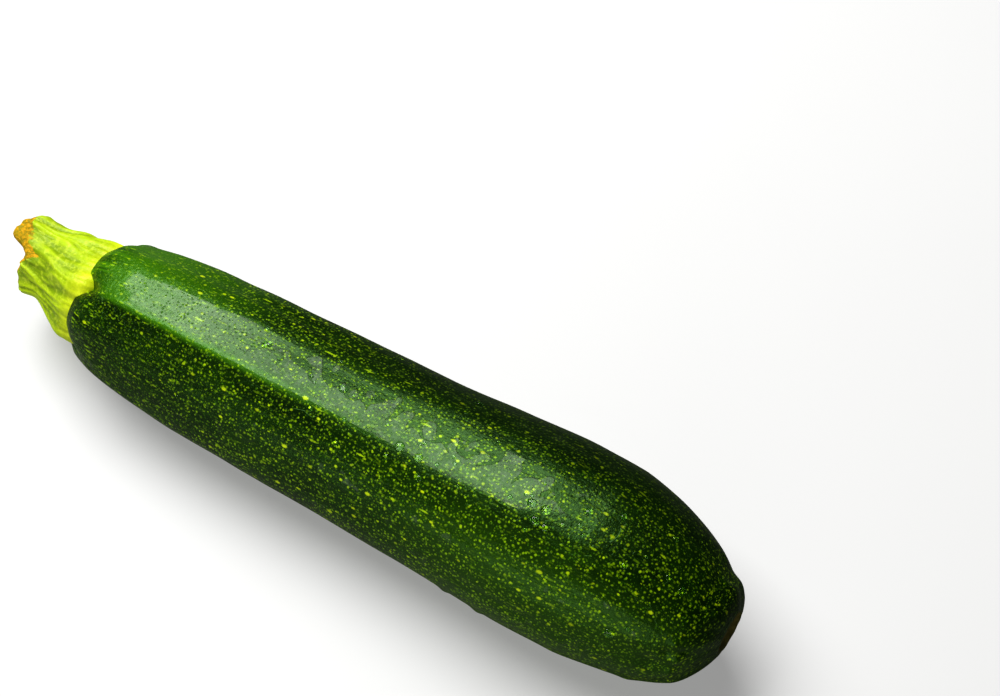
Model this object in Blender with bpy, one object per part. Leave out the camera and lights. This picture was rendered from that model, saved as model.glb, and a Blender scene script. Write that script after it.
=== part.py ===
"""A courgette as picked, lying on its side: the green fruit and the stub of stem that it was cut with.

Metres, +Z up. The courgette lies along X, with its stem towards -X and its blossom scar towards +X.
It rests on the plane z = 0, and the origin is on that plane, under the middle of its box.
"""

import math

import bmesh
import bpy
from mathutils import Matrix, Vector

# Driving sizes.
FRUIT_LENGTH = 0.172
STEM_LENGTH = 0.023
JOINT_GAP = 0.0003

# Outline of the fruit, as distance from its stem end and radius. The blossom end follows a rounded cap.
FRUIT_OUTLINE = (
    (0.000, 0.0124),
    (0.003, 0.0143),
    (0.009, 0.0164),
    (0.018, 0.0180),
    (0.034, 0.0194),
    (0.060, 0.0202),
    (0.085, 0.0208),
    (0.105, 0.0217),
    (0.122, 0.0227),
    (0.138, 0.0225),
)
CAP_START = 0.138
CAP_BLUNTNESS = 1.85
CAP_SHARE = 0.99

# Outline of the stem, as distance from the fruit and radius: a wide root, a neck and a flared cut end.
STEM_OUTLINE = (
    (0.0000, 0.0126),
    (0.0030, 0.0124),
    (0.0080, 0.0112),
    (0.0135, 0.0096),
    (0.0180, 0.0090),
    (0.0215, 0.0094),
    (0.0230, 0.0088),
)

# The fruit and the stem both have five blunt corners, and one of them looks up and forwards.
CORNERS = 5
CORNER_ANGLE = math.radians(118.0)
FRUIT_CORNER_AT_STEM = 0.045
FRUIT_CORNER_PAST_FADE = 0.008
FRUIT_CORNER_FADE = 0.100
STEM_CORNER = 0.075
FINE_RIBS = 10
FINE_RIB = 0.006

# The belly lies on the surface along this stretch, pressed flat by this much.
REST_FROM = 0.034
REST_TO = 0.130
BELLY_PRESS = 0.0007

# The courgette is bowed a little sideways, as distance from the stem end and shift along Y, and its
# blossom end droops a little.
SIDE_BOW = (
    (0.000, -0.0006),
    (0.040, -0.0005),
    (0.086, 0.0000),
    (0.120, 0.0003),
    (0.138, 0.0001),
    (0.172, -0.0016),
)
DROOP_FROM = 0.135
DROOP = 0.0012

# The blossom scar is a shallow round dent.
SCAR_DENT = 0.0007

# Mesh steps.
FRUIT_STEPS_ROUND = 54
FRUIT_STEPS_ALONG = 30
CAP_STEPS = 11
STEM_STEPS_ROUND = 40
STEM_STEPS_ALONG = 12
DEPTH_SAMPLES = 180

STEM_END_X = -(FRUIT_LENGTH + STEM_LENGTH) / 2.0
FRUIT_START_X = STEM_END_X + STEM_LENGTH


def clear_objects():
    for old in list(bpy.data.objects):
        bpy.data.objects.remove(old, do_unlink=True)


def clamp(value, low, high):
    return max(low, min(high, value))


def ease(value):
    """Goes smoothly from 0 to 1 as value does."""
    share = clamp(value, 0.0, 1.0)
    return share * share * (3.0 - 2.0 * share)


def smooth_through(points, position):
    """Height at position of a smooth curve through (position, height) points."""
    last = len(points) - 1
    start = 0
    while start < last - 1 and position > points[start + 1][0]:
        start += 1
    x0, y0 = points[start]
    x1, y1 = points[start + 1]
    before = points[max(start - 1, 0)]
    after = points[min(start + 2, last)]
    slope0 = (y1 - before[1]) / (x1 - before[0])
    slope1 = (after[1] - y0) / (after[0] - x0)
    step = x1 - x0
    t = clamp((position - x0) / step, 0.0, 1.0)
    rise = t * t * (3.0 - 2.0 * t)
    leave = t * (1.0 - t) ** 2 * step * slope0
    arrive = -t * t * (1.0 - t) * step * slope1
    return y0 + (y1 - y0) * rise + leave + arrive


def cap_radius(distance):
    """Radius of the rounded blossom end, which closes on a small blunt face."""
    share = CAP_SHARE * (distance - CAP_START) / (FRUIT_LENGTH - CAP_START)
    widest = smooth_through(FRUIT_OUTLINE, CAP_START)
    return widest * math.sqrt(1.0 - share**CAP_BLUNTNESS)


def fruit_radius(distance):
    if distance > CAP_START:
        return cap_radius(distance)
    return smooth_through(FRUIT_OUTLINE, distance)


def fruit_section(distance, angle):
    """How much fuller or flatter than round the fruit is in one direction."""
    share = ease(distance / FRUIT_CORNER_FADE)
    corner = FRUIT_CORNER_AT_STEM * (1.0 - share) + FRUIT_CORNER_PAST_FADE * share
    turned = angle - CORNER_ANGLE
    return 1.0 + corner * math.cos(CORNERS * turned) + FINE_RIB * math.cos(FINE_RIBS * turned)


def depth_below_centre(distance):
    """How far a section of the fruit reaches below its own centre."""
    reach = 0.0
    for step in range(DEPTH_SAMPLES):
        angle = math.pi * (1.0 + step / DEPTH_SAMPLES)
        reach = max(reach, -math.sin(angle) * fruit_section(distance, angle))
    return reach * fruit_radius(distance)


def centre_line(distance):
    """Centre of the section at a distance from the fruit's stem end, which is below 0 on the stem."""
    height = depth_below_centre(clamp(distance, REST_FROM, REST_TO)) - BELLY_PRESS
    height -= DROOP * ease((distance - DROOP_FROM) / (FRUIT_LENGTH - DROOP_FROM))
    side = smooth_through(SIDE_BOW, clamp(distance, 0.0, FRUIT_LENGTH))
    return Vector((FRUIT_START_X + distance, side, height))


def spun_outline(outline, steps):
    """Spins (distance, radius) points about the X axis into one closed surface."""
    mesh = bmesh.new()
    rim = [mesh.verts.new((distance, 0.0, radius)) for distance, radius in outline]
    edges = [mesh.edges.new(pair) for pair in zip(rim, rim[1:])]
    bmesh.ops.spin(
        mesh,
        geom=rim + edges,
        axis=(1.0, 0.0, 0.0),
        cent=(0.0, 0.0, 0.0),
        angle=2.0 * math.pi,
        steps=steps,
        use_merge=True,
    )
    bmesh.ops.remove_doubles(mesh, verts=mesh.verts, dist=0.00001)
    return mesh


def shape_sections(mesh, section, centre):
    """Gives each round section its own outline and puts it on the centre line."""
    for vert in mesh.verts:
        distance = vert.co.x
        angle = math.atan2(vert.co.z, vert.co.y)
        around = Vector((0.0, vert.co.y, vert.co.z)) * section(distance, angle)
        vert.co = centre(distance) + around


def press_belly(mesh):
    for vert in mesh.verts:
        vert.co.z = max(vert.co.z, 0.0)


def finished(name, mesh, colour, roughness):
    """Makes the mesh a smooth, closed object with its own material."""
    bmesh.ops.recalc_face_normals(mesh, faces=mesh.faces)
    data = bpy.data.meshes.new(name)
    mesh.to_mesh(data)
    mesh.free()
    data.shade_smooth()
    data.set_sharp_from_angle(angle=math.radians(40.0))
    material = bpy.data.materials.new(name)
    material.use_nodes = True
    shader = material.node_tree.nodes["Principled BSDF"]
    shader.inputs["Base Color"].default_value = (*colour, 1.0)
    shader.inputs["Roughness"].default_value = roughness
    shader.inputs["Metallic"].default_value = 0.0
    data.materials.append(material)
    thing = bpy.data.objects.new(name, data)
    bpy.context.scene.collection.objects.link(thing)
    return thing


def fruit_outline():
    """Outline from the middle of the stem end to the middle of the blossom scar."""
    points = [(0.0, 0.0), (0.0, 0.5 * fruit_radius(0.0))]
    for step in range(FRUIT_STEPS_ALONG):
        distance = CAP_START * (step / FRUIT_STEPS_ALONG) ** 1.15
        points.append((distance, fruit_radius(distance)))
    for step in range(CAP_STEPS + 1):
        share = math.sin(0.5 * math.pi * step / CAP_STEPS)
        distance = CAP_START + (FRUIT_LENGTH - CAP_START) * share
        points.append((distance, fruit_radius(distance)))
    scar = fruit_radius(FRUIT_LENGTH)
    points.append((FRUIT_LENGTH - SCAR_DENT, 0.6 * scar))
    points.append((FRUIT_LENGTH - SCAR_DENT, 0.0))
    return points


def make_fruit():
    mesh = spun_outline(fruit_outline(), FRUIT_STEPS_ROUND)
    shape_sections(mesh, fruit_section, centre_line)
    press_belly(mesh)
    return finished("fruit", mesh, colour=(0.020, 0.075, 0.006), roughness=0.3)


def stem_section(distance, angle):
    return 1.0 + STEM_CORNER * math.cos(CORNERS * (angle - CORNER_ANGLE))


def stem_outline():
    """Outline from the middle of the root, which faces the fruit, to the middle of the cut end."""
    root = -JOINT_GAP
    points = [(root, 0.0), (root, 0.5 * STEM_OUTLINE[0][1])]
    for step in range(STEM_STEPS_ALONG + 1):
        distance = STEM_LENGTH * step / STEM_STEPS_ALONG
        radius = smooth_through(STEM_OUTLINE, distance)
        points.append((root - distance * (1.0 - JOINT_GAP / STEM_LENGTH), radius))
    cut_end = -STEM_LENGTH
    points.append((cut_end, 0.5 * STEM_OUTLINE[-1][1]))
    points.append((cut_end, 0.0))
    return points


def make_stem():
    mesh = spun_outline(stem_outline(), STEM_STEPS_ROUND)
    shape_sections(mesh, stem_section, centre_line)
    return finished("stem", mesh, colour=(0.45, 0.62, 0.06), roughness=0.5)


def centre_on_box(things):
    """Moves the finished meshes sideways, so that the middle of their common box is over the origin."""
    points = [vert.co for thing in things for vert in thing.data.vertices]
    middle = Vector((0.0, 0.0, 0.0))
    for axis in (0, 1):
        middle[axis] = (min(p[axis] for p in points) + max(p[axis] for p in points)) / 2.0
    for thing in things:
        thing.data.transform(Matrix.Translation(-middle))


clear_objects()
centre_on_box((make_fruit(), make_stem()))
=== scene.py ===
import math
import random

import bmesh
import bpy
from mathutils import Matrix, Vector, noise
from mathutils.bvhtree import BVHTree


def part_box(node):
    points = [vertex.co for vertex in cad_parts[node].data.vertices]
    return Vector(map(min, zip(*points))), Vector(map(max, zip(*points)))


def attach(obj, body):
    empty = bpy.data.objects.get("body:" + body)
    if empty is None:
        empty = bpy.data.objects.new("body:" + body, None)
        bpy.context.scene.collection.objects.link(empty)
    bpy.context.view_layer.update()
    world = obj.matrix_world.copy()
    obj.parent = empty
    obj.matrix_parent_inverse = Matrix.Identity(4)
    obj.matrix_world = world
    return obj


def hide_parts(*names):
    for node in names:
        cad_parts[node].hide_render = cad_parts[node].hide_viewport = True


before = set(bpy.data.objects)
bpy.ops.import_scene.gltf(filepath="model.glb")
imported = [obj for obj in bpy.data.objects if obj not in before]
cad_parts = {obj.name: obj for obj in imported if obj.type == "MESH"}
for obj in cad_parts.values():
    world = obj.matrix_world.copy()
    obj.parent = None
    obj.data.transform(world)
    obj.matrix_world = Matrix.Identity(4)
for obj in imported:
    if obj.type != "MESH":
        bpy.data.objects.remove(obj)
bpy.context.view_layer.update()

# ---------------------------------------------------------------- places and sizes, from the frame
fruit_low, fruit_high = (Vector(corner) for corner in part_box("fruit"))
stem_low, _ = (Vector(corner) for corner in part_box("stem"))

MM = 0.001
START = fruit_low.x
LENGTH = fruit_high.x - fruit_low.x
GIRTH = 0.5 * (fruit_high.y - fruit_low.y)
STEM_LENGTH = fruit_low.x - stem_low.x

# Outline of the fruit: share of its length from the stem, and share of its greatest radius. Past the
# last point it is closed by a blunt cap, which ends at the blossom scar.
FRUIT_OUTLINE = (
    (0.000, 0.545),
    (0.017, 0.650),
    (0.052, 0.732),
    (0.105, 0.792),
    (0.198, 0.853),
    (0.349, 0.888),
    (0.494, 0.915),
    (0.610, 0.954),
    (0.709, 0.998),
    (0.802, 0.990),
)
CAP_START = FRUIT_OUTLINE[-1][0]
CAP_TAPER = 1.33
CAP_BLUNTNESS = 3.0
CAP_SHARE = 0.99
FRUIT_END = 0.9925

# The five blunt corners, one of which looks up and forwards.
CORNERS = 5
CORNER_ANGLE = math.radians(110.0)

# How the centre of each section wanders. The belly lies level on the floor, the whole is bowed a
# little sideways (share of the length, shift along Y), and the blossom end droops.
REST_FROM = 0.198
REST_TO = 0.756
REST_STEPS = 24
BELLY_PRESS = 0.7 * MM
SIDE_BOW = (
    (0.000, -0.6 * MM),
    (0.100, -0.6 * MM),
    (0.233, -0.4 * MM),
    (0.500, 0.1 * MM),
    (0.698, 0.3 * MM),
    (0.802, 0.5 * MM),
    (0.930, -0.2 * MM),
    (1.000, -1.9 * MM),
)
DROOP_FROM = 0.785
DROOP = 1.2 * MM


def clamp(value, low=0.0, high=1.0):
    return max(low, min(high, value))


def ease(value):
    """Goes smoothly from 0 to 1 as value does."""
    share = clamp(value)
    return share * share * (3.0 - 2.0 * share)


def fade(value, start, end):
    """Goes smoothly from 0 to 1 as value goes from start to end, which may be the lower one."""
    return ease((value - start) / (end - start))


def blend(low, high, share):
    return low + (high - low) * share


def hump(value, width):
    """1 at 0, falling smoothly to nearly 0 at about twice the width."""
    return math.exp(-((value / width) ** 2))


def smooth_through(points, position):
    """Height at position of a smooth curve through (position, height) points."""
    last = len(points) - 1
    start = 0
    while start < last - 1 and position > points[start + 1][0]:
        start += 1
    x0, y0 = points[start]
    x1, y1 = points[start + 1]
    before = points[max(start - 1, 0)]
    after = points[min(start + 2, last)]
    step = x1 - x0
    t = clamp((position - x0) / step)
    rise = t * t * (3.0 - 2.0 * t)
    leave = t * (1.0 - t) ** 2 * step * (y1 - before[1]) / (x1 - before[0])
    arrive = -t * t * (1.0 - t) * step * (after[1] - y0) / (after[0] - x0)
    return y0 + (y1 - y0) * rise + leave + arrive


def angle_between(first, second):
    """Signed turn from second to first, from -pi to pi."""
    return (first - second + math.pi) % (2.0 * math.pi) - math.pi


# ---------------------------------------------------------------- the fruit
def fruit_radius(share):
    """Radius of the round outline at a share of the fruit's length."""
    if share <= CAP_START:
        return GIRTH * smooth_through(FRUIT_OUTLINE, share)
    along = CAP_SHARE * (share - CAP_START) / (FRUIT_END - CAP_START)
    return GIRTH * FRUIT_OUTLINE[-1][1] * (1.0 - along**CAP_TAPER) ** (1.0 / CAP_BLUNTNESS)


# How far the corners stand out along the fruit (share of its length, share of its radius), and where
# they turn from sharp edges to soft swellings. Fine ribs run on the corners and midway between them.
CORNER_RISE = (
    (0.000, -0.045),
    (0.040, 0.000),
    (0.090, 0.036),
    (0.250, 0.031),
    (0.550, 0.010),
    (1.000, 0.004),
)
SHARP_TO = 0.12
ROUNDED_FROM = 0.60
EDGE_ROUNDING = 0.09
FINE_RIB = 0.006


def corner_wave(share, angle):
    """From 1 on the five corners to -1 between them."""
    turned = angle - CORNER_ANGLE
    soft = math.cos(CORNERS * turned)
    sharp = 1.0 - 2.0 * math.hypot(math.sin(0.5 * CORNERS * turned), EDGE_ROUNDING)
    return blend(sharp, soft, fade(share, SHARP_TO, ROUNDED_FROM))


def section(share, angle):
    """How much fuller or flatter than round the fruit is in one direction."""
    corner = smooth_through(CORNER_RISE, clamp(share))
    fine = FINE_RIB * math.cos(2 * CORNERS * (angle - CORNER_ANGLE))
    return 1.0 + corner * corner_wave(share, angle) + fine


# Directions near straight down, in which a section may reach lowest.
DOWNWARDS = tuple(1.5 * math.pi + math.radians(2.0 * step) for step in range(-20, 21))


def depth_below_centre(share):
    """How far a section reaches below its own centre."""
    return fruit_radius(share) * max(-math.sin(angle) * section(share, angle) for angle in DOWNWARDS)


REST_SHARES = tuple(blend(REST_FROM, REST_TO, step / REST_STEPS) for step in range(REST_STEPS + 1))
REST_DEPTHS = tuple((share, depth_below_centre(share)) for share in REST_SHARES)


def centre_line(share):
    """Centre of a section, before the fruit is moved onto the frame's box."""
    height = smooth_through(REST_DEPTHS, clamp(share, REST_FROM, REST_TO)) - BELLY_PRESS
    height -= DROOP * fade(share, DROOP_FROM, 1.0)
    side = smooth_through(SIDE_BOW, clamp(share))
    return Vector((START + LENGTH * share, side, height))


MERGE_DISTANCE = 0.001 * MM


def spun(outline, steps):
    """Spins (distance, radius) points about the X axis into a closed skin, and notes each point's
    length along the outline as its run."""
    mesh = bmesh.new()
    run = mesh.verts.layers.float.new("run")
    rim = []
    length = 0.0
    for place, (distance, radius) in enumerate(outline):
        if place:
            before = outline[place - 1]
            length += math.hypot(distance - before[0], radius - before[1])
        vert = mesh.verts.new((distance, 0.0, radius))
        vert[run] = length
        rim.append(vert)
    edges = [mesh.edges.new(pair) for pair in zip(rim, rim[1:])]
    bmesh.ops.spin(
        mesh,
        geom=rim + edges,
        axis=(1.0, 0.0, 0.0),
        cent=(0.0, 0.0, 0.0),
        angle=2.0 * math.pi,
        steps=steps,
        use_merge=True,
    )
    bmesh.ops.remove_doubles(mesh, verts=mesh.verts, dist=MERGE_DISTANCE)
    bmesh.ops.recalc_face_normals(mesh, faces=mesh.faces)
    return mesh


# Mesh steps of the fruit, which crowd a little towards the stem.
FRUIT_STEPS_ROUND = 224
FRUIT_STEPS_ALONG = 300
CROWDING = 1.12
HOLLOW_STEPS = 8
CAP_STEPS = 90
SCAR_STEPS = 14

# The fruit is hollowed under the stem, and dented at the blossom scar round a low middle.
HOLLOW = 0.6 * MM
SCAR_RADIUS = fruit_radius(FRUIT_END)
SCAR_DENT = 0.8 * MM
SCAR_MIDDLE = 0.2 * MM


def fruit_outline():
    """Outline from the hollow under the stem to the middle of the blossom scar."""
    points = []
    for step in range(HOLLOW_STEPS):
        outward = step / HOLLOW_STEPS
        points.append((HOLLOW * (1.0 - outward) ** 2, fruit_radius(0.0) * outward))
    for step in range(FRUIT_STEPS_ALONG):
        share = CAP_START * (step / FRUIT_STEPS_ALONG) ** CROWDING
        points.append((LENGTH * share, fruit_radius(share)))
    for step in range(CAP_STEPS + 1):
        share = blend(CAP_START, FRUIT_END, math.sin(0.5 * math.pi * step / CAP_STEPS))
        points.append((LENGTH * share, fruit_radius(share)))
    for step in range(1, SCAR_STEPS + 1):
        inward = step / SCAR_STEPS
        dent = SCAR_DENT * fade(inward, 0.0, 0.4) - SCAR_MIDDLE * hump(inward - 1.0, 0.25)
        points.append((LENGTH * FRUIT_END - dent, SCAR_RADIUS * (1.0 - inward)))
    return points


FRUIT_POINTS = fruit_outline()

# The rim of the fruit round the stem leans a little, and is notched at the corners. Its skin is patterned
# as if it were as wide as the fruit is further on, so that the pattern doesn't crowd there.
RIM_SET = -1.3 * MM
RIM_LEAN = 1.7 * MM
RIM_TO = 0.06
NOTCH = 3.0 * MM
NOTCH_FADE = 9.0 * MM
PATTERN_WIDE_TO = 0.12

# The blossom scar sits off the middle of the end, on a low rise, with the skin gathered round it.
SCAR_ANGLE = math.radians(28.0)
SCAR_SHIFT = 2.8 * MM
SCAR_FROM = 0.955
SCAR_RISE = 0.15 * MM
SCAR_RISE_WIDTH = 1.4 * MM
PUCKER = 0.25 * MM
PUCKERS = 11

# Small scars, dents and warts: share of the length, angle in degrees, radius and height.
MARKS = (
    (0.637, 207.0, 1.5 * MM, 0.45 * MM),
    (0.690, 206.0, 1.7 * MM, 0.50 * MM),
    (0.664, 207.0, 1.2 * MM, -0.30 * MM),
    (0.052, 112.0, 1.1 * MM, -0.35 * MM),
    (0.965, 62.0, 1.3 * MM, 0.45 * MM),
    (0.945, 38.0, 1.2 * MM, 0.40 * MM),
    (0.930, 165.0, 2.2 * MM, -0.80 * MM),
    (0.948, 192.0, 1.8 * MM, -0.70 * MM),
    (0.956, 172.0, 1.3 * MM, 0.60 * MM),
    (0.945, 150.0, 1.2 * MM, -0.65 * MM),
    (0.960, 157.0, 1.0 * MM, 0.60 * MM),
    (0.952, 139.0, 0.9 * MM, 0.50 * MM),
    (0.963, 146.0, 0.9 * MM, -0.60 * MM),
    (0.905, 205.0, 2.0 * MM, 0.35 * MM),
    (0.780, 20.0, 2.0 * MM, 0.30 * MM),
    (0.420, 300.0, 1.8 * MM, -0.35 * MM),
    (0.560, 342.0, 1.5 * MM, 0.30 * MM),
    (0.880, 320.0, 2.0 * MM, -0.40 * MM),
    (0.300, 250.0, 1.4 * MM, 0.30 * MM),
)

# One shoulder of the fruit is fuller than the others, round a place at this share and angle.
SHOULDER_RISE = 1.0 * MM
SHOULDER_AT = 0.022
SHOULDER_LENGTH = 0.025
SHOULDER_ANGLE = math.radians(30.0)
SHOULDER_WIDTH = 0.7

# The top is filled out near the stem, behind the corner that looks up, and is nearly level there.
TOP_RISE = 1.0 * MM
TOP_ANGLE = math.radians(75.0)
TOP_WIDTH = 0.33

# Heights and sizes of the skin's own relief. It is full from this share on at both ends. It fades out
# inside a radius, and nearer the middle than a smaller one its pattern crowds no further.
LUMP_RISE = 0.26 * MM
LUMP_SIZE = 16.0 * MM
RIPPLE_RISE = 0.07 * MM
RIPPLE_SIZE = 4.5 * MM
RIB_RISE = 0.16 * MM
RIB_SIZE = 3.2 * MM
SMOOTH_END = 0.03
RELIEF_CORE = 10.0 * MM
MIDDLE = 8.0 * MM

# A thin ridge line runs on each corner.
RIDGE_RISE = 0.16 * MM
RIDGE_WIDTH = 0.9 * MM


def mark_height(share, angle, radius):
    """Height that the marks add to the skin."""
    height = 0.0
    for place, at, width, rise in MARKS:
        along = (share - place) * LENGTH
        if abs(along) < 3.0 * width:
            across = angle_between(angle, math.radians(at)) * radius
            height += rise * hump(math.hypot(along, across), width)
    return height


def ridge_line(share, angle, radius):
    """Height of the thin lines on the corners."""
    from_corner = angle_between(CORNERS * angle, CORNERS * CORNER_ANGLE) / CORNERS * radius
    return RIDGE_RISE * hump(from_corner, RIDGE_WIDTH) * fade(share, 0.0, 0.05) * fade(share, 0.55, 0.10)


def fullness(share, angle):
    """Height that the fuller shoulder and the filled out top add to the skin."""
    shoulder = hump(share - SHOULDER_AT, SHOULDER_LENGTH) * hump(angle - SHOULDER_ANGLE, SHOULDER_WIDTH)
    top = hump(angle - TOP_ANGLE, TOP_WIDTH) * fade(share, 0.01, 0.07) * fade(share, 0.40, 0.13)
    return SHOULDER_RISE * shoulder + TOP_RISE * top


def skin_relief(share, angle, radius):
    """Height of the skin over its smooth section: lumps, lengthwise ribs, ridge lines and marks."""
    around = Vector((math.cos(angle), math.sin(angle), 0.0)) * radius
    along = share * LENGTH
    lumps = noise.noise(Vector((around.x, around.y, along)) / LUMP_SIZE + Vector((7.0, 0.0, 3.0)))
    ripple = noise.noise(Vector((around.x, around.y, along * 0.6)) / RIPPLE_SIZE)
    ribs = noise.noise(Vector((around.x, around.y, along * 0.05)) / RIB_SIZE + Vector((0.0, 5.0, 0.0)))
    relief = LUMP_RISE * lumps + RIPPLE_RISE * ripple + RIB_RISE * ribs
    relief *= fade(share, 0.0, SMOOTH_END) * fade(share, FRUIT_END, FRUIT_END - SMOOTH_END)
    relief += ridge_line(share, angle, radius) + fullness(share, angle)
    return relief + mark_height(share, angle, radius)


def at_corner(angle, sharpness):
    """1 on the five corners, falling to 0 between them."""
    return (0.5 + 0.5 * math.cos(CORNERS * (angle - CORNER_ANGLE))) ** sharpness


def rim_shift(angle, depth):
    """How far the fruit's rim round the stem is set back from its box, at a depth into the fruit. A rib
    of the stem runs into a notch at each corner."""
    leaning = RIM_SET + RIM_LEAN * (0.5 + 0.5 * math.cos(angle - CORNER_ANGLE))
    return (leaning + NOTCH * at_corner(angle, sharpness=6.0)) * fade(depth, NOTCH_FADE, 0.0)


def pucker(share, angle):
    """Folds that gather the skin into the blossom scar, a little unevenly spaced."""
    near = fade(share, SCAR_FROM, SCAR_FROM + 0.03)
    return PUCKER * near * math.cos(PUCKERS * angle + 1.5 * math.sin(2.0 * angle))


def scar_offset(share):
    """How far the end of the fruit turns towards the scar's side."""
    aside = SCAR_SHIFT * fade(share, SCAR_FROM, FRUIT_END)
    return Vector((0.0, aside * math.cos(SCAR_ANGLE), aside * math.sin(SCAR_ANGLE)))


def sculpt_fruit(mesh):
    """Gives each round section its own shape, place and relief, which fades out towards its middle."""
    skin = mesh.verts.layers.float_vector.new("skin")
    run = mesh.verts.layers.float["run"]
    for vert in mesh.verts:
        share = clamp(vert.co.x / LENGTH)
        angle = math.atan2(vert.co.z, vert.co.y)
        radius = math.hypot(vert.co.y, vert.co.z)
        shift = vert.co.x - share * LENGTH
        full = radius * section(share, angle)
        if share < FRUIT_END:
            full += skin_relief(share, angle, max(radius, MIDDLE)) * min(1.0, radius / RELIEF_CORE)
        full += pucker(share, angle) * min(1.0, radius / SCAR_RADIUS)
        if share < RIM_TO:
            shift += rim_shift(angle, share * LENGTH) * min(1.0, radius / fruit_radius(0.0))
        if share > SCAR_FROM:
            shift += SCAR_RISE * hump(radius - SCAR_RADIUS, SCAR_RISE_WIDTH)
        wide = max(radius, fruit_radius(PATTERN_WIDE_TO)) if share < PATTERN_WIDE_TO else radius
        vert[skin] = (wide * math.cos(angle), wide * math.sin(angle), vert[run])
        around = Vector((shift, full * math.cos(angle), full * math.sin(angle)))
        vert.co = centre_line(share) + scar_offset(share) + around


def settle(mesh):
    """Moves the fruit over the middle of its box and presses its belly flat on the floor. Returns how
    far it moved."""
    sides = [vert.co.y for vert in mesh.verts]
    slide = 0.5 * (fruit_low.y + fruit_high.y) - 0.5 * (min(sides) + max(sides))
    for vert in mesh.verts:
        vert.co.y += slide
        vert.co.z = max(vert.co.z, 0.0)
    return slide


def linked(name, data):
    """An object of the scene that holds the data."""
    thing = bpy.data.objects.new(name, data)
    bpy.context.scene.collection.objects.link(thing)
    return thing


def piece(name, mesh, material, body="root"):
    """Makes a bmesh a smooth shaded piece of the courgette."""
    data = bpy.data.meshes.new(name)
    mesh.to_mesh(data)
    mesh.free()
    data.shade_smooth()
    data.materials.append(material)
    thing = linked(name, data)
    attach(thing, body)
    return thing


# ---------------------------------------------------------------- the stem
# Outline of the stem: share of its length from the fruit, below 0 inside the fruit's hollow, and radius
# in millimetres.
STEM_OUTLINE = (
    (-0.22, 10.0),
    (-0.12, 12.0),
    (0.00, 12.4),
    (0.10, 12.3),
    (0.20, 11.8),
    (0.30, 11.2),
    (0.42, 10.5),
    (0.56, 9.5),
    (0.70, 8.7),
    (0.85, 8.8),
    (0.95, 8.9),
    (1.00, 8.1),
)
STEM_STEPS_ROUND = 220
STEM_STEPS_ALONG = 150
CUT_STEPS = 24
CUT_RADIUS = STEM_OUTLINE[-1][1] * MM

# The stem's five corners twist along it, and its cut end leans to one side.
STEM_CORNER = 0.080
STEM_TWIST = math.radians(12.0)
STEM_LEAN = 1.9 * MM
LEAN_ANGLE = math.radians(28.0)

# Heights of the stem's folds, fibres and lumps, how far the folds sway and how close they stand, and
# the radius inside which all of it fades out.
FOLD_RISE = 0.48 * MM
FOLD_SWAY = 0.22
FOLD_CROWDING = 4.2
FIBRE_RISE = 0.10 * MM
STEM_LUMP_RISE = 0.40 * MM
CORE = 5.0 * MM

# Where the cut end lies round the stem: angle in degrees, and millimetres from the fruit. The upper
# side reaches out as a lip, with a cleft beside it.
CUT_REACH = (
    (-40.0, 22.0),
    (20.0, 21.8),
    (50.0, 21.9),
    (72.0, 23.2),
    (100.0, 23.6),
    (109.0, 22.8),
    (117.0, 19.8),
    (125.0, 18.6),
    (140.0, 18.8),
    (152.0, 19.3),
    (166.0, 19.7),
    (182.0, 19.0),
    (205.0, 18.6),
    (250.0, 19.4),
    (290.0, 21.0),
    (320.0, 22.0),
)
CUT_MIDDLE = 19.4
RAGGED = 0.3 * MM
LIP_ANGLE = math.radians(86.0)
LIP_WIDTH = 0.42
LIP_RISE = 1.1 * MM
CLEFT_ANGLE = math.radians(117.0)
CLEFT_WIDTH = 0.14
CLEFT_DEPTH = 1.3 * MM

# The band of dried callus beside the cut, in millimetres: its width everywhere, what the lip adds, at a
# place that is turned by an angle from it, and what the cleft adds.
CALLUS = 0.4
CALLUS_AT_LIP = 5.0
CALLUS_TURN = 0.20
CALLUS_IN_CLEFT = 2.5

# The radius at which the stem's pattern is laid out.
PATTERN_RADIUS = 10.0 * MM


def stem_outline():
    """Outline from inside the fruit's hollow to the middle of the cut end, running towards -X."""
    inside, root_radius = STEM_OUTLINE[0]
    points = [(-STEM_LENGTH * inside, 0.0), (-STEM_LENGTH * inside, 0.6 * root_radius * MM)]
    for step in range(STEM_STEPS_ALONG + 1):
        share = blend(inside, 1.0, step / STEM_STEPS_ALONG)
        points.append((-STEM_LENGTH * share, MM * smooth_through(STEM_OUTLINE, share)))
    for step in range(1, CUT_STEPS + 1):
        inward = step / CUT_STEPS
        bulge = 0.02 * fade(inward, 0.0, 1.0 / 3.0)
        points.append((-STEM_LENGTH * (1.0 + bulge), CUT_RADIUS * (1.0 - inward)))
    return points


def cut_reach(angle, inward):
    """Distance of the cut end from the fruit, evened out towards the middle of the cut."""
    degrees = math.degrees(angle)
    while degrees < CUT_REACH[0][0]:
        degrees += 360.0
    reach = smooth_through(CUT_REACH, min(degrees, CUT_REACH[-1][0]))
    return MM * blend(reach, CUT_MIDDLE, ease(inward * 1.3))


def stem_fold(share, angle):
    """From -1 in the stem's grooves to 1 on its folds, which run lengthwise and waver."""
    sway = FOLD_SWAY * math.sin(5.0 * share + 2.0 * math.sin(3.0 * angle))
    turned = angle - STEM_TWIST * share + sway * share
    around = Vector((math.cos(turned), math.sin(turned), 0.0)) * FOLD_CROWDING
    broad = noise.noise(around + Vector((0.0, 0.0, share * 1.6)))
    fine = noise.noise(around * 2.3 + Vector((5.0, 0.0, share * 2.6)))
    return clamp(1.5 * broad + 0.9 * fine, -1.0, 1.0)


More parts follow.
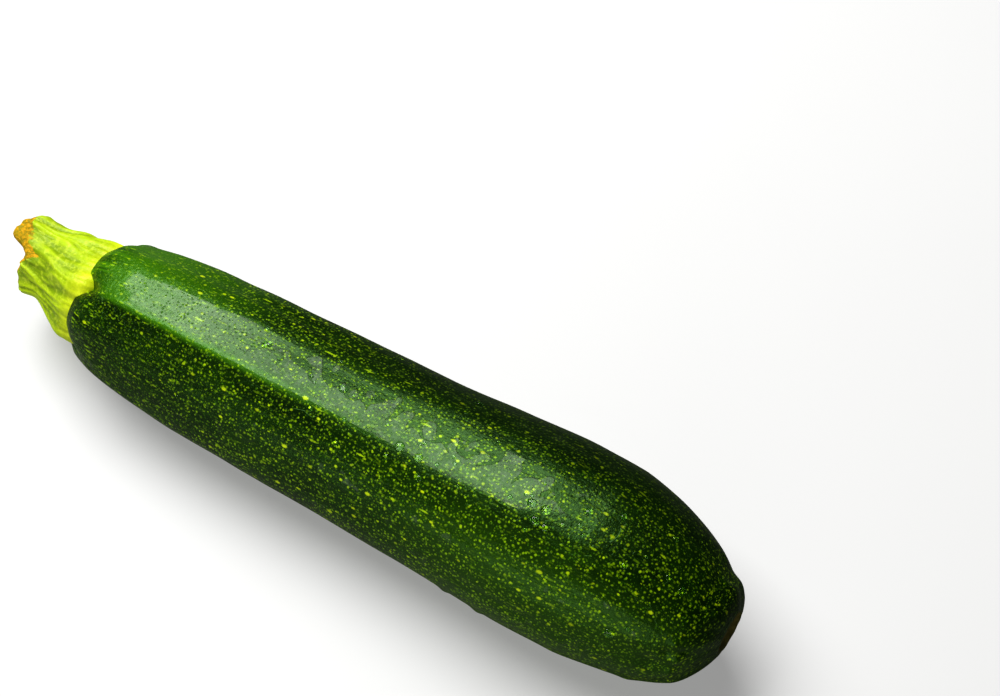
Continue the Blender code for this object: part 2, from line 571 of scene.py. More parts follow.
def stem_relief(share, angle, radius):
    """Height of the stem's ribs, folds and lumps over its round outline."""
    turned = angle - STEM_TWIST * share
    around = Vector((math.cos(turned), math.sin(turned), 0.0)) * 9.0
    fibres = noise.noise(Vector((around.x, around.y, share * 3.0)))
    lumps = noise.noise(Vector((0.16 * around.x, 0.16 * around.y, share * 3.8)) + Vector((2.0, 9.0, 4.0)))
    ridge = STEM_CORNER * radius * (1.5 * at_corner(turned, sharpness=1.6) - 0.5)
    ridge *= fade(share, -0.18, -0.02)
    folds = FOLD_RISE * stem_fold(share, angle)
    return ridge + folds + FIBRE_RISE * fibres + STEM_LUMP_RISE * lumps


def callus_mask(angle, in_cleft, from_cut):
    """1 at the cut, falling to 0 at twice the width of the band of callus."""
    at_lip = hump(angle_between(angle, LIP_ANGLE + CALLUS_TURN), LIP_WIDTH)
    band = CALLUS + CALLUS_AT_LIP * at_lip + CALLUS_IN_CLEFT * in_cleft
    return clamp(1.0 - 0.5 * from_cut / (MM * band))


def sculpt_stem(mesh, slide):
    """Gives the stem its ribs and its ragged cut end with its lip, and notes the place in its pattern,
    the callus and the folds for its material."""
    skin = mesh.verts.layers.float_vector.new("skin")
    cut = mesh.verts.layers.float.new("cut")
    fold = mesh.verts.layers.float.new("fold")
    middle = centre_line(0.0) + Vector((0.0, slide, 0.0))
    lean = STEM_LEAN * Vector((0.0, math.cos(LEAN_ANGLE), math.sin(LEAN_ANGLE)))
    for vert in mesh.verts:
        share = -vert.co.x / STEM_LENGTH
        angle = math.atan2(vert.co.z, vert.co.y)
        radius = math.hypot(vert.co.y, vert.co.z)
        outward = Vector((0.0, math.cos(angle), math.sin(angle)))
        inward = 1.0 - radius / CUT_RADIUS if share >= 1.0 else 0.0
        length = cut_reach(angle, inward) if share > 0.0 else STEM_LENGTH
        length = blend(STEM_LENGTH, length, fade(share, 0.0, 0.35))
        near_end = fade(share, 0.50, 1.0)
        in_cleft = hump(angle_between(angle, CLEFT_ANGLE), CLEFT_WIDTH)
        lip = LIP_RISE * hump(angle_between(angle, LIP_ANGLE), LIP_WIDTH) - CLEFT_DEPTH * in_cleft
        relief = stem_relief(min(share, 1.0), angle, radius) + near_end * lip
        full = radius + relief * min(1.0, radius / CORE)
        around = Vector((math.cos(angle), math.sin(angle), 0.5 * radius / CUT_RADIUS)) * 4.0
        ragged = RAGGED * near_end * noise.noise(around + Vector((4.0, 1.0, 0.0)))
        vert[skin] = (PATTERN_RADIUS * outward.y, PATTERN_RADIUS * outward.z, share * length)
        vert[cut] = 1.0 if share >= 1.0 else callus_mask(angle, in_cleft, (1.0 - share) * length)
        vert[fold] = stem_fold(share, angle)
        along = Vector((ragged - share * length, 0.0, 0.0))
        vert.co = middle + along + lean * fade(share, 0.10, 0.85) + full * outward


# ---------------------------------------------------------------- materials
class Wiring:
    """A node tree being wired, with a short call for each kind of node that it often takes."""

    def __init__(self, tree):
        self.tree = tree

    def node(self, kind, inputs=(), **settings):
        """Adds a node with its settings and feeds its inputs, given by their name or number."""
        made = self.tree.nodes.new(kind)
        for name, value in settings.items():
            setattr(made, name, value)
        for key, value in dict(inputs).items():
            self.feed(made.inputs[key], value)
        return made

    def feed(self, socket, value):
        """Links a socket to an input, or sets the input to a plain value."""
        if isinstance(value, bpy.types.NodeSocket):
            self.tree.links.new(value, socket)
        else:
            socket.default_value = value

    def maths(self, operation, first, second=0.0, third=0.0):
        inputs = {0: first, 1: second, 2: third}
        return self.node("ShaderNodeMath", inputs, operation=operation).outputs[0]

    def times(self, first, second):
        return self.maths("MULTIPLY", first, second)

    def times_plus(self, first, second, third):
        return self.maths("MULTIPLY_ADD", first, second, third)

    def vector_maths(self, operation, first, second):
        return self.node("ShaderNodeVectorMath", {0: first, 1: second}, operation=operation).outputs[0]

    def colour(self, factor, first, second):
        """A colour that goes from first to second with the factor."""
        made = self.node("ShaderNodeMix", data_type="RGBA")
        self.feed(made.inputs[0], factor)
        self.feed(made.inputs[6], first)
        self.feed(made.inputs[7], second)
        return made.outputs[2]

    def between(self, factor, first, second):
        """A number that goes from first to second with the factor."""
        return self.node("ShaderNodeMix", {0: factor, 2: first, 3: second}, data_type="FLOAT").outputs[0]

    def step(self, value, low, high):
        """Goes smoothly from 0 to 1 as value goes from low to high, which may be the lower one."""
        inputs = {"Value": value, "From Min": low, "From Max": high}
        made = self.node("ShaderNodeMapRange", inputs, interpolation_type="SMOOTHSTEP")
        return made.outputs[0]

    def noise(self, vector, scale, detail=2.0, roughness=0.5, colour=False):
        inputs = {"Vector": vector, "Scale": scale, "Detail": detail, "Roughness": roughness}
        made = self.node("ShaderNodeTexNoise", inputs)
        return made.outputs["Color" if colour else "Fac"]

    def layers(self, ground, *coats):
        """Lays (mask, strength, colour) coats over a ground colour, one after another."""
        for mask, strength, paint in coats:
            ground = self.colour(self.times(mask, strength), ground, paint)
        return ground


def rgb(red, green, blue):
    return (red, green, blue, 1.0)


def new_group(name, inputs, outputs):
    """An empty node group: inputs and outputs are (name, socket type, default) rows."""
    tree = bpy.data.node_groups.new(name, "ShaderNodeTree")
    for title, kind, value in inputs:
        socket = tree.interface.new_socket(title, in_out="INPUT", socket_type=kind)
        if value is not None:
            socket.default_value = value
    for title, kind in outputs:
        tree.interface.new_socket(title, in_out="OUTPUT", socket_type=kind)
    return tree, tree.nodes.new("NodeGroupInput"), tree.nodes.new("NodeGroupOutput")


# The specks' places wander by some millimetres and off their grid, and each has a size from the smallest
# to 1 and a solid core.
SPECK_WOBBLE = 0.30
SPECK_RANDOMNESS = 0.82
SMALLEST_SPECK = 0.55
SPECK_CORE = 0.45


def specks_group():
    """Scattered spots on the skin: round for a stretch of 1, lengthwise dashes for more."""
    tree, given, result = new_group(
        "specks",
        (
            ("Place", "NodeSocketVector", None),
            ("Spacing", "NodeSocketFloat", 2.0),
            ("Stretch", "NodeSocketFloat", 1.0),
            ("Size", "NodeSocketFloat", 0.3),
            ("Share", "NodeSocketFloat", 0.6),
            ("Shift", "NodeSocketFloat", 0.0),
        ),
        (("Mask", "NodeSocketFloat"), ("Random", "NodeSocketFloat")),
    )
    wire = Wiring(tree)
    sockets = given.outputs
    wobble = wire.noise(sockets["Place"], scale=1.7, detail=1.0, colour=True)
    wobble = wire.vector_maths("MULTIPLY", wobble, (SPECK_WOBBLE, SPECK_WOBBLE, SPECK_WOBBLE))
    place = wire.vector_maths("ADD", sockets["Place"], wobble)
    lengthwise = wire.times(sockets["Spacing"], sockets["Stretch"])
    grid = wire.node("ShaderNodeCombineXYZ", {0: sockets["Spacing"], 1: sockets["Spacing"], 2: lengthwise})
    place = wire.vector_maths("DIVIDE", place, grid.outputs[0])
    shift = wire.node("ShaderNodeCombineXYZ", {0: sockets["Shift"], 1: sockets["Shift"]})
    place = wire.vector_maths("ADD", place, shift.outputs[0])
    scattered = {"Vector": place, "Scale": 1.0, "Randomness": SPECK_RANDOMNESS}
    cells = wire.node("ShaderNodeTexVoronoi", scattered, feature="F1")
    chance = wire.node("ShaderNodeSeparateColor", {0: cells.outputs["Color"]})
    size = wire.times(sockets["Size"], wire.between(chance.outputs[1], SMALLEST_SPECK, 1.0))
    spot = wire.step(cells.outputs["Distance"], size, wire.times(size, SPECK_CORE))
    kept = wire.maths("LESS_THAN", chance.outputs[0], sockets["Share"])
    wire.feed(result.inputs["Mask"], wire.times(spot, kept))
    wire.feed(result.inputs["Random"], chance.outputs[2])
    return tree


def surface(name):
    """A new material, its wiring and its shader."""
    material = bpy.data.materials.new(name)
    material.use_nodes = True
    return material, Wiring(material.node_tree), material.node_tree.nodes["Principled BSDF"]


# Length along the fruit's outline, in millimetres, at the edge of the blossom scar.
SCAR_RUN = 1000.0 * sum(
    math.dist(before, after) for before, after in zip(FRUIT_POINTS, FRUIT_POINTS[1:-SCAR_STEPS])
)

# Sides of the fruit: the direction in degrees, and the distances from the fruit's middle towards it, in
# millimetres, where its look begins and is full.
UPPER_ANGLE = math.degrees(CORNER_ANGLE)
FILM_ANGLE = 106.0
UPPER_CORNER = (UPPER_ANGLE, 4.0, 9.0)
BEHIND_CORNER = (UPPER_ANGLE - 90.0, -1.0, 2.0)
FILM_SIDE = (FILM_ANGLE, 4.0, 9.0)
NEAR_SIDE = (195.0, 1.0, 15.0)
FAR_SIDE = (10.0, 3.0, 18.0)
SHADED_SIDE = (40.0, 2.0, 22.0)

# Stretches of the fruit, in millimetres along its skin: where their look begins and is full.
YOUNG_STRETCH = (70.0, 14.0)
EDGE_STRETCH = (120.0, 40.0)
CREASE_STRETCH = (26.0, 15.0)
NEAR_STRETCH = (95.0, 135.0)
FAR_STRETCH = (40.0, 110.0)
BLOSSOM_STRETCH = (110.0, 175.0)
TIP_STRETCH = (176.0, 194.0)
SHEEN_START = (13.0, 23.0)
SHEEN_END = (78.0, 45.0)
FILM_START = (24.0, 75.0)
FILM_END = (172.0, 128.0)

# The pale line on the upper corner: distances from the corner, in millimetres, where it begins and is
# full.
EDGE_LINE = (1.6, 0.2)

# The film of water, in millimetres: half its width, how far a noise pushes its scallops out and how far
# it is drawn in between them, and the softness of its edge. Islands of water lie where a noise is this
# strong.
FILM_HALF_WIDTH = 8.0
SCALLOP_DEPTH = 36.0
SCALLOP_TRIM = -5.2
FILM_EDGE = 0.35
ISLANDS = (0.660, 0.680)

# Colours of the skin under its specks.
DEEP_GREEN = rgb(0.0016, 0.0080, 0.0001)
DARK_GREEN = rgb(0.0040, 0.0165, 0.0002)
STREAK_GREEN = rgb(0.012, 0.042, 0.0004)
# Painted light: the near, lower side towards the blossom end is made lighter.
NEAR_LIT_GREEN = rgb(0.017, 0.052, 0.0005)
# Partly the fresher skin near the stem, partly painted light on its upper side.
YOUNG_AND_LIT_GREEN = rgb(0.050, 0.175, 0.0006)
EDGE_GREEN = rgb(0.050, 0.170, 0.0020)
# Painted shade in fine creases round the rim near the stem.
CREASE_SHADE_GREEN = rgb(0.008, 0.036, 0.0003)
# Painted shade on the far side and round the blossom end.
SHADE_GREEN = rgb(0.0018, 0.0070, 0.0004)
DARK_CORK = rgb(0.030, 0.030, 0.008)
PALE_CORK = rgb(0.20, 0.15, 0.040)

# Layers of specks: name, spacing in millimetres, stretch along the fruit, size, share of places taken,
# shift of the pattern, strength away from the stem and near it, strength of the faintest and of the
# strongest speck, and colour.
SPECK_LAYERS = (
    ("grains", 0.62, 1.0, 0.50, 0.80, 3.3, (1.0, 1.0), (0.10, 0.70), rgb(0.075, 0.20, 0.002)),
    ("dots", 0.88, 1.1, 0.46, 0.90, 11.7, (1.0, 0.40), (0.15, 0.90), rgb(0.24, 0.42, 0.003)),
    ("beads", 1.05, 1.0, 0.38, 0.85, 77.7, (1.0, 0.20), (0.15, 0.90), rgb(0.24, 0.42, 0.003)),
    ("flecks", 0.90, 3.2, 0.40, 0.80, 52.3, (0.35, 0.90), (0.20, 0.90), rgb(0.26, 0.46, 0.003)),
    ("bright", 1.90, 1.2, 0.25, 0.70, 19.4, (1.0, 0.45), (0.45, 1.0), rgb(0.42, 0.60, 0.005)),
    ("blots", 3.4, 1.7, 0.17, 0.60, 27.1, (1.0, 1.0), (0.60, 1.0), rgb(0.48, 0.62, 0.005)),
    ("dashes", 2.0, 5.0, 0.19, 0.45, 41.9, (1.0, 1.0), (0.35, 0.95), rgb(0.34, 0.52, 0.005)),
)

# Strength of the shine, from its weakest to its strongest: of the film of water, of the grain in it, of
# the wax near the stem, where streaks weaken it, and of the wax between its pits and in them.
WET_SHINE = (0.24, 0.56)
GRAINY_SHINE = (0.55, 1.10)
WAXY_SHINE = (0.80, 0.50)
PITTED_SHINE = (0.9, 0.0)

# How much painted shade darkens the far side and the blossom end.
FAR_SHADING = 0.82
BLOSSOM_SHADING = 0.60

# Heights in the skin's bump: of the peel and its pits away from the stem and near it, of the lengthwise
# grain, of the dots and of the film of water.
PEEL_HEIGHT = (0.65, 1.5)
PIT_HEIGHT = (-0.15, -1.2)
GRAIN_HEIGHT = 0.30
DOT_HEIGHT = 0.20
FILM_HEIGHT = 0.35


def skin_place(wire):
    """The skin's own coordinates in millimetres: round the fruit in X and Y, along it in Z."""
    place = wire.node("ShaderNodeAttribute", attribute_name="skin").outputs["Vector"]
    return wire.vector_maths("MULTIPLY", place, (1000.0, 1000.0, 1000.0))


def run_of(wire, place):
    """How far along the skin a place lies, in millimetres."""
    return wire.node("ShaderNodeSeparateXYZ", {0: place}).outputs[2]


def towards(wire, place, degrees):
    """Distance from the middle, in millimetres, measured towards a direction."""
    angle = math.radians(degrees)
    inputs = {0: place, 1: (math.cos(angle), math.sin(angle), 0.0)}
    return wire.node("ShaderNodeVectorMath", inputs, operation="DOT_PRODUCT").outputs["Value"]


def facing(wire, place, side):
    """1 on a side of the fruit, and 0 away from it."""
    degrees, begins, full = side
    return wire.step(towards(wire, place, degrees), begins, full)


def corner_edge(wire, place):
    """A thin line along the corner that looks up."""
    off = wire.maths("ABSOLUTE", towards(wire, place, UPPER_ANGLE - 90.0))
    return wire.times(wire.step(off, *EDGE_LINE), facing(wire, place, UPPER_CORNER))


def film_mask(wire, place, along):
    """The thin film of water on top of the fruit, with a scalloped edge, and islands beside it."""
    across = wire.maths("ABSOLUTE", towards(wire, place, FILM_ANGLE - 90.0))
    widest = wire.times(wire.step(along, *FILM_START), wire.step(along, *FILM_END))
    waves = wire.noise(place, scale=0.15, detail=0.8, roughness=0.4)
    scallops = wire.maths("ABSOLUTE", wire.maths("SUBTRACT", waves, 0.5))
    scallops = wire.times_plus(scallops, SCALLOP_DEPTH, SCALLOP_TRIM)
    reach = wire.maths("SUBTRACT", wire.times_plus(widest, FILM_HALF_WIDTH, scallops), across)
    elsewhere = wire.vector_maths("ADD", place, (31.0, 0.0, 9.0))
    islands = wire.step(wire.noise(elsewhere, scale=0.26, detail=0.8), *ISLANDS)
    film = wire.maths("MAXIMUM", wire.step(reach, 0.0, FILM_EDGE), islands)
    return wire.times(film, facing(wire, place, FILM_SIDE))


def spots(wire, specks, place, **values):
    """Places the specks group with its own values. Returns its mask and its random number."""
    made = wire.node("ShaderNodeGroup", node_tree=specks)
    wire.feed(made.inputs["Place"], place)
    for title, value in values.items():
        wire.feed(made.inputs[title.capitalize()], value)
    return made.outputs["Mask"], made.outputs["Random"]


def skin_ground(wire, place, along, young, upper, streaks):
    """The skin's green under its specks, some of it painted light and painted shade."""
    patches = wire.step(wire.noise(place, scale=0.09, detail=3.0), 0.36, 0.64)
    # Painted light: the near, lower side towards the blossom end is made lighter.
    near = wire.times(wire.step(along, *NEAR_STRETCH), facing(wire, place, NEAR_SIDE))
    edge = wire.times(wire.step(along, *EDGE_STRETCH), corner_edge(wire, place))
    # Painted shade: dark lines in fine creases round the rim near the stem.
    rim_place = wire.vector_maths("MULTIPLY", place, (1.0, 1.0, 0.05))
    crease_shade = wire.step(wire.noise(rim_place, scale=0.70, detail=2.0), 0.46, 0.56)
    crease_shade = wire.times(crease_shade, wire.step(along, *CREASE_STRETCH))
    return wire.layers(
        wire.colour(patches, DEEP_GREEN, DARK_GREEN),
        (streaks, 0.45, STREAK_GREEN),
        (near, 0.80, NEAR_LIT_GREEN),
        # Fresher skin near the stem, made lighter on its upper side as painted light.
        (wire.times(young, upper), 0.80, YOUNG_AND_LIT_GREEN),
        (edge, 0.70, EDGE_GREEN),
        (crease_shade, 0.75, CREASE_SHADE_GREEN),
    )


def speckled(wire, specks, place, young, colour):
    """Lays the specks over the skin's green. Returns the colour, and the mask of the round dots."""
    masks = {}
    for name, spacing, stretch, size, share, shift, by_stem, strengths, paint in SPECK_LAYERS:
        mask, chance = spots(
            wire, specks, place, spacing=spacing, stretch=stretch, size=size, share=share, shift=shift
        )
        masks[name] = mask
        shown = wire.times(mask, wire.between(young, *by_stem))
        colour = wire.layers(colour, (shown, wire.between(chance, *strengths), paint))
    return colour, masks["dots"]


def painted_shade(wire, place, along):
    """Where painted shade darkens the skin: along the far side, and round the blossom end."""
    far = wire.times(facing(wire, place, FAR_SIDE), wire.step(along, *FAR_STRETCH))
    blossom_shade = wire.times(wire.step(along, *BLOSSOM_STRETCH), facing(wire, place, SHADED_SIDE))
    blossom_shade = wire.maths("MAXIMUM", blossom_shade, wire.step(along, *TIP_STRETCH))
    return wire.maths("MAXIMUM", wire.times(far, FAR_SHADING), wire.times(blossom_shade, BLOSSOM_SHADING))


def skin_shine(wire, place, along, upper, streaks, film, pits):
    """How strongly the skin shines: waxy and pitted near the stem, and wet where the film lies."""
    grainy = wire.step(wire.noise(place, scale=1.5, detail=3.0, roughness=0.7), 0.36, 0.64)
    wet = wire.step(wire.noise(place, scale=0.42, detail=5.0, roughness=0.75), 0.38, 0.66)
    wet = wire.times(wire.between(wet, *WET_SHINE), wire.between(grainy, *GRAINY_SHINE))
    sheen = wire.times(wire.step(along, *SHEEN_END), wire.step(along, *SHEEN_START))
    waxy = wire.times(wire.times(sheen, upper), wire.between(streaks, *WAXY_SHINE))
    waxy = wire.times(waxy, wire.between(pits, *PITTED_SHINE))
    return wire.maths("MAXIMUM", waxy, wire.times(film, wet))


def skin_height(wire, place, long_place, young, film, pits, dots):
    """The skin's finest relief: peel, lengthwise grain, pits, raised dots and the film's edge."""
    grain = wire.times(wire.noise(long_place, scale=1.4, detail=3.0), GRAIN_HEIGHT)
    peel = wire.noise(place, scale=1.15, detail=2.0, roughness=0.6)
    height = wire.times_plus(peel, wire.between(young, *PEEL_HEIGHT), grain)
    height = wire.times_plus(pits, wire.between(young, *PIT_HEIGHT), height)
    height = wire.times_plus(dots, DOT_HEIGHT, height)
    return wire.times_plus(film, FILM_HEIGHT, height)


def skin_material(specks):
    """Dark, speckled, waxy skin, fresher near the stem, partly painted light and shade, with a corky
    blossom scar and a film of water.
    """
    material, wire, shader = surface("courgette_skin")
    place = skin_place(wire)
    along = run_of(wire, place)
    long_place = wire.vector_maths("MULTIPLY", place, (1.0, 1.0, 0.10))
    young = wire.step(along, *YOUNG_STRETCH)
    upper = facing(wire, place, BEHIND_CORNER)
    streaks = wire.step(wire.noise(long_place, scale=0.55, detail=4.0, roughness=0.65), 0.38, 0.68)
    film = film_mask(wire, place, along)
    pits, _ = spots(wire, specks, place, spacing=0.85, size=0.46, share=0.90, shift=63.1)

    colour = skin_ground(wire, place, along, young, upper, streaks)
    colour, dots = speckled(wire, specks, place, young, colour)
    # Painted shade darkens the far side and the blossom end.
    colour = wire.colour(painted_shade(wire, place, along), colour, SHADE_GREEN)
    past_scar_edge = wire.maths("SUBTRACT", along, SCAR_RUN)
    ragged = wire.times_plus(wire.noise(place, scale=1.1, detail=3.0), 2.4, past_scar_edge)
    scar = wire.step(ragged, 0.8, 1.9)
    cork = wire.colour(wire.noise(place, scale=2.4, detail=4.0, roughness=0.7), DARK_CORK, PALE_CORK)
    wire.feed(shader.inputs["Base Color"], wire.colour(scar, colour, cork))

    dull = wire.between(wire.noise(place, scale=0.35, detail=3.0), 0.28, 0.40)
    wire.feed(shader.inputs["Roughness"], wire.between(scar, dull, 0.75))
    shine = skin_shine(wire, place, along, upper, streaks, film, pits)
    wire.feed(shader.inputs["Coat Weight"], shine)
    shader.inputs["Coat Roughness"].default_value = 0.10
    shader.inputs["Coat IOR"].default_value = 1.33
    shader.inputs["Specular IOR Level"].default_value = 0.34
    shader.inputs["Specular Tint"].default_value = rgb(0.46, 1.0, 0.30)

    height = skin_height(wire, place, long_place, young, film, pits, dots)
    bump = wire.node("ShaderNodeBump", {"Strength": 0.5, "Distance": 0.30 * MM, "Height": height})
    wire.feed(shader.inputs["Normal"], bump.outputs[0])
    return material


# Colours of the stem. The groove green is painted shade and the fold green painted light.
GROOVE_SHADE_GREEN = rgb(0.19, 0.30, 0.0015)
FOLD_LIT_GREEN = rgb(0.43, 0.60, 0.006)
PALE_GREEN = rgb(0.56, 0.68, 0.040)
ROOT_YELLOW = rgb(0.70, 0.78, 0.012)
AMBER = rgb(0.66, 0.35, 0.0006)
CRUST = rgb(0.27, 0.21, 0.0012)


def stem_material():
    """Fibrous, folded stem with painted shade and light on its folds, yellower at its root, with a dried
    amber crust at the cut.
    """
    material, wire, shader = surface("courgette_stem")
    place = skin_place(wire)
    long_place = wire.vector_maths("MULTIPLY", place, (1.0, 1.0, 0.22))
    cut = wire.node("ShaderNodeAttribute", attribute_name="cut").outputs["Fac"]
    fold = wire.node("ShaderNodeAttribute", attribute_name="fold").outputs["Fac"]

    fibres = wire.noise(long_place, scale=1.0, detail=4.0, roughness=0.65)
    mottle = wire.noise(place, scale=0.8, detail=3.0, roughness=0.6)
    # Fibre streaks, with painted shade in the grooves between the folds and painted light on the folds.
    streaks_and_fold_light = wire.times_plus(fibres, 1.1, wire.times_plus(fold, 0.45, -0.05))
    colour = wire.layers(
        wire.colour(wire.step(streaks_and_fold_light, 0.10, 0.85), GROOVE_SHADE_GREEN, FOLD_LIT_GREEN),
        (wire.step(mottle, 0.46, 0.66), 0.55, PALE_GREEN),
        (wire.step(run_of(wire, place), 4.5, -1.0), 0.60, ROOT_YELLOW),
    )
    callus = wire.step(wire.times_plus(mottle, 0.5, wire.maths("SUBTRACT", cut, 0.25)), 0.50, 0.60)
    crusty = wire.step(wire.noise(place, scale=1.1, detail=4.0, roughness=0.7), 0.42, 0.60)
    wire.feed(shader.inputs["Base Color"], wire.colour(callus, colour, wire.colour(crusty, AMBER, CRUST)))
    wire.feed(shader.inputs["Roughness"], wire.between(callus, 0.42, 0.65))
    shader.inputs["Specular Tint"].default_value = rgb(0.9, 1.0, 0.5)

    grain = wire.times(wire.noise(place, scale=2.0, detail=3.0), 0.6)
    height = wire.times_plus(fibres, 0.9, grain)
    height = wire.times_plus(callus, wire.times(crusty, -0.8), height)
    bump = wire.node("ShaderNodeBump", {"Strength": 0.5, "Distance": 0.4 * MM, "Height": height})
    wire.feed(shader.inputs["Normal"], bump.outputs[0])
    return material


def water_material():
    """Clear water with a hint of green, faintly rippled."""
    material, wire, shader = surface("water")
    place = wire.node("ShaderNodeTexCoord").outputs["Object"]
    ripple = wire.noise(place, scale=900.0, detail=1.0)
    bump = wire.node("ShaderNodeBump", {"Strength": 0.15, "Distance": 0.1 * MM, "Height": ripple})
    wire.feed(shader.inputs["Normal"], bump.outputs[0])
    shader.inputs["Base Color"].default_value = rgb(0.85, 1.0, 0.80)
    shader.inputs["Roughness"].default_value = 0.06
    shader.inputs["IOR"].default_value = 1.27
    shader.inputs["Transmission Weight"].default_value = 1.0
    return material


# The floor as the camera sees it, with the glow that brings it to nearly white, and the two darker
# colours whose light it throws onto the fruit, in front of it and behind it.
FLOOR_DULL = rgb(0.45, 0.45, 0.445)
FLOOR_PALE = rgb(0.48, 0.48, 0.475)
FLOOR_GLOW = rgb(0.25, 0.25, 0.248)
FRONT_BOUNCE = rgb(0.26, 0.28, 0.22)
BACK_BOUNCE = rgb(0.06, 0.07, 0.05)
BOUNCE_TURN = 0.03
BLACK = rgb(0.0, 0.0, 0.0)


def floor_material():
    """A pale floor. It throws less light onto the fruit than its own colour would, and least from
    behind."""
    material, wire, shader = surface("pale_floor")
    place = wire.node("ShaderNodeTexCoord").outputs["Object"]
    pale = wire.colour(wire.noise(place, scale=6.0, detail=3.0), FLOOR_DULL, FLOOR_PALE)
    depth = wire.node("ShaderNodeSeparateXYZ", {0: place}).outputs[1]
    bounce = wire.colour(wire.step(depth, -BOUNCE_TURN, BOUNCE_TURN), FRONT_BOUNCE, BACK_BOUNCE)
    seen = wire.node("ShaderNodeLightPath").outputs["Is Camera Ray"]
    wire.feed(shader.inputs["Base Color"], wire.colour(seen, bounce, pale))
    wire.feed(shader.inputs["Emission Color"], wire.colour(seen, BLACK, FLOOR_GLOW))
    shader.inputs["Emission Strength"].default_value = 1.0
    shader.inputs["Roughness"].default_value = 0.75
    return material


# ---------------------------------------------------------------- making the pieces
def make_fruit(material):
    """Makes the fruit. Returns how far it was moved sideways, and its surface to set the drops on."""
    mesh = spun(FRUIT_POINTS, FRUIT_STEPS_ROUND)
    sculpt_fruit(mesh)
    slide = settle(mesh)
    surface_tree = BVHTree.FromBMesh(mesh)
    fruit = piece("courgette_fruit", mesh, material)
    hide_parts("fruit")
    return slide, surface_tree


def make_stem(material, slide):
    mesh = spun(stem_outline(), STEM_STEPS_ROUND)
    sculpt_stem(mesh, slide)
    stem = piece("courgette_stem", mesh, material)
    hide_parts("stem")


# Drops of water stand in clusters: share of the length, spread of the share, angle and its spread in
# degrees, and how many.
DROP_CLUSTERS = (
    (0.78, 0.05, 101.0, 8.0, 13),
    (0.71, 0.03, 108.0, 7.0, 7),
    (0.55, 0.03, 105.0, 5.0, 8),
    (0.40, 0.06, 97.0, 9.0, 9),
    (0.60, 0.20, 76.0, 14.0, 8),
    (0.60, 0.22, 138.0, 18.0, 6),
)
DROPS_FROM = 0.06
DROPS_TO = 0.93

# The drops' radii, and their height and greatest length as shares of it.
SMALLEST_DROP = 0.42 * MM
DROP_SPREAD = 0.75 * MM
DROP_HEIGHT = 0.42
DROP_LENGTH = 1.3


def make_drops(material, slide, surface_tree):
    """Flattened drops of water, half sunk in the skin, which cast no shadow on it."""
    chance = random.Random(11)
    mesh = bmesh.new()
    for share, share_spread, degrees, spread, count in DROP_CLUSTERS:
        for _ in range(count):
            place = clamp(chance.gauss(share, share_spread), DROPS_FROM, DROPS_TO)
            angle = math.radians(chance.gauss(degrees, spread))
            size = SMALLEST_DROP + DROP_SPREAD * chance.random() ** 2.0
            start = centre_line(place) + Vector((0.0, slide, 0.0))
            outward = Vector((0.0, math.cos(angle), math.sin(angle)))
            spot, normal, _, _ = surface_tree.ray_cast(start, outward)
            turn = normal.to_track_quat("Z", "Y").to_matrix().to_4x4()
            stretch = chance.uniform(1.0, DROP_LENGTH)
            squash = Matrix.Diagonal((size * stretch, size, size * DROP_HEIGHT, 1.0))
            put = Matrix.Translation(spot) @ turn @ squash
            bmesh.ops.create_uvsphere(mesh, u_segments=10, v_segments=6, radius=1.0, matrix=put)
    drops = piece("water_drops", mesh, material)
    drops.visible_shadow = False


FLOOR_RADIUS = 3.0


def make_floor():
    mesh = bmesh.new()
    bmesh.ops.create_circle(mesh, cap_ends=True, segments=96, radius=FLOOR_RADIUS)
    data = bpy.data.meshes.new("floor")
    mesh.to_mesh(data)
    mesh.free()
    data.materials.append(floor_material())
    floor = linked("floor", data)


# ---------------------------------------------------------------- camera and light
CAMERA_AZIMUTH = math.radians(31.97)
CAMERA_ELEVATION = math.radians(58.0)
CAMERA_LENS = 85.0
SENSOR_WIDTH = 36.0
CAMERA_DISTANCE = 0.559

# The camera looks past the origin by this much to the right and upwards, in its own view.
AIM_RIGHT = 0.0320
AIM_UP = 0.0307

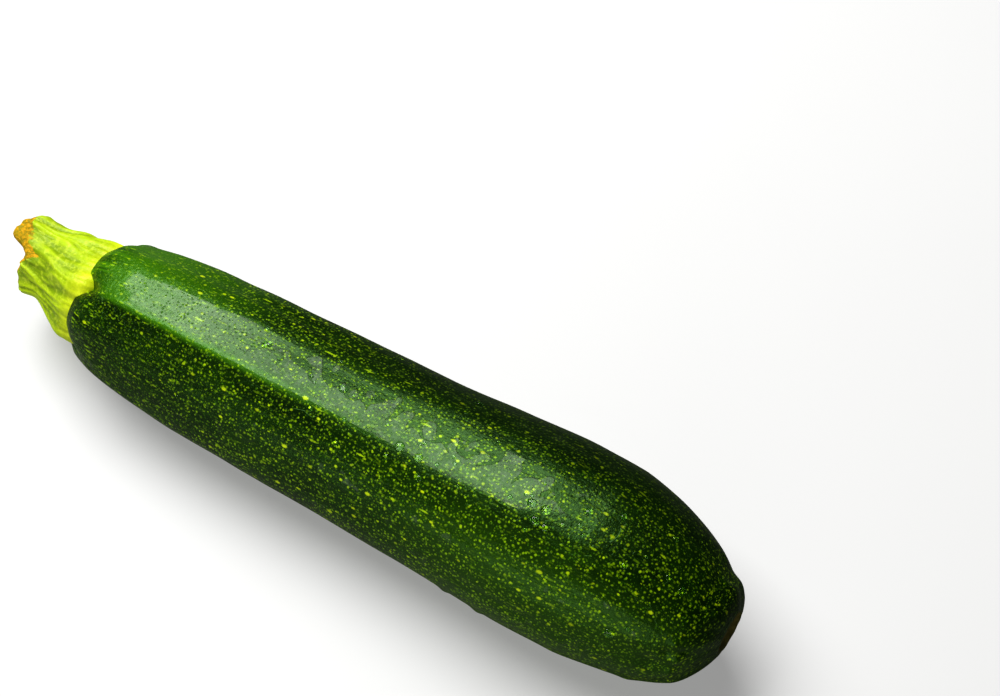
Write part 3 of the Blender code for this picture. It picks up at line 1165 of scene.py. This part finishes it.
# Lights: name, place, width and height, and power. They point at a place in the fruit.
LIGHTS = (
    ("softbox", (-0.32, 0.13, 0.72), (0.72, 0.56), 10.0),
    ("front_fill", (0.10, -0.80, 0.18), (1.10, 0.30), 2.5),
)
LIGHT_TARGET = Vector((0.0, 0.0, 0.02))

# The room's light on the fruit, and its colour where the camera sees it.
ROOM_LIGHT = rgb(0.025, 0.025, 0.025)
ROOM_SEEN = rgb(0.72, 0.72, 0.72)


def view_axes():
    """Right, up and backward directions of the camera."""
    flat = math.cos(CAMERA_ELEVATION)
    back = Vector(
        (math.sin(CAMERA_AZIMUTH) * flat, -math.cos(CAMERA_AZIMUTH) * flat, math.sin(CAMERA_ELEVATION))
    )
    right = Vector((math.cos(CAMERA_AZIMUTH), math.sin(CAMERA_AZIMUTH), 0.0))
    return right, back.cross(right), back


def make_camera():
    right, up, back = view_axes()
    data = bpy.data.cameras.new("camera")
    data.lens = CAMERA_LENS
    data.sensor_width = SENSOR_WIDTH
    camera = linked("camera", data)
    camera.location = back * CAMERA_DISTANCE + right * AIM_RIGHT + up * AIM_UP
    camera.rotation_euler = Matrix((right, up, back)).transposed().to_euler()
    bpy.context.scene.camera = camera


def make_light(name, place, size, power):
    data = bpy.data.lights.new(name, "AREA")
    data.shape = "RECTANGLE"
    data.size, data.size_y = size
    data.energy = power
    light = linked(name, data)
    light.location = place
    light.rotation_euler = (LIGHT_TARGET - Vector(place)).to_track_quat("-Z", "Y").to_euler()


def make_world():
    world = bpy.data.worlds.new("studio")
    world.use_nodes = True
    wire = Wiring(world.node_tree)
    background = world.node_tree.nodes["Background"]
    seen = wire.node("ShaderNodeLightPath").outputs["Is Camera Ray"]
    wire.feed(background.inputs["Color"], wire.colour(seen, ROOM_LIGHT, ROOM_SEEN))
    bpy.context.scene.world = world


def main():
    slide, surface_tree = make_fruit(skin_material(specks_group()))
    make_stem(stem_material(), slide)
    make_drops(water_material(), slide, surface_tree)
    make_floor()
    make_camera()
    for name, place, size, power in LIGHTS:
        make_light(name, place, size, power)
    make_world()
    bpy.context.scene.view_settings.view_transform = "Standard"
    bpy.context.scene.view_settings.look = "Medium High Contrast"


main()
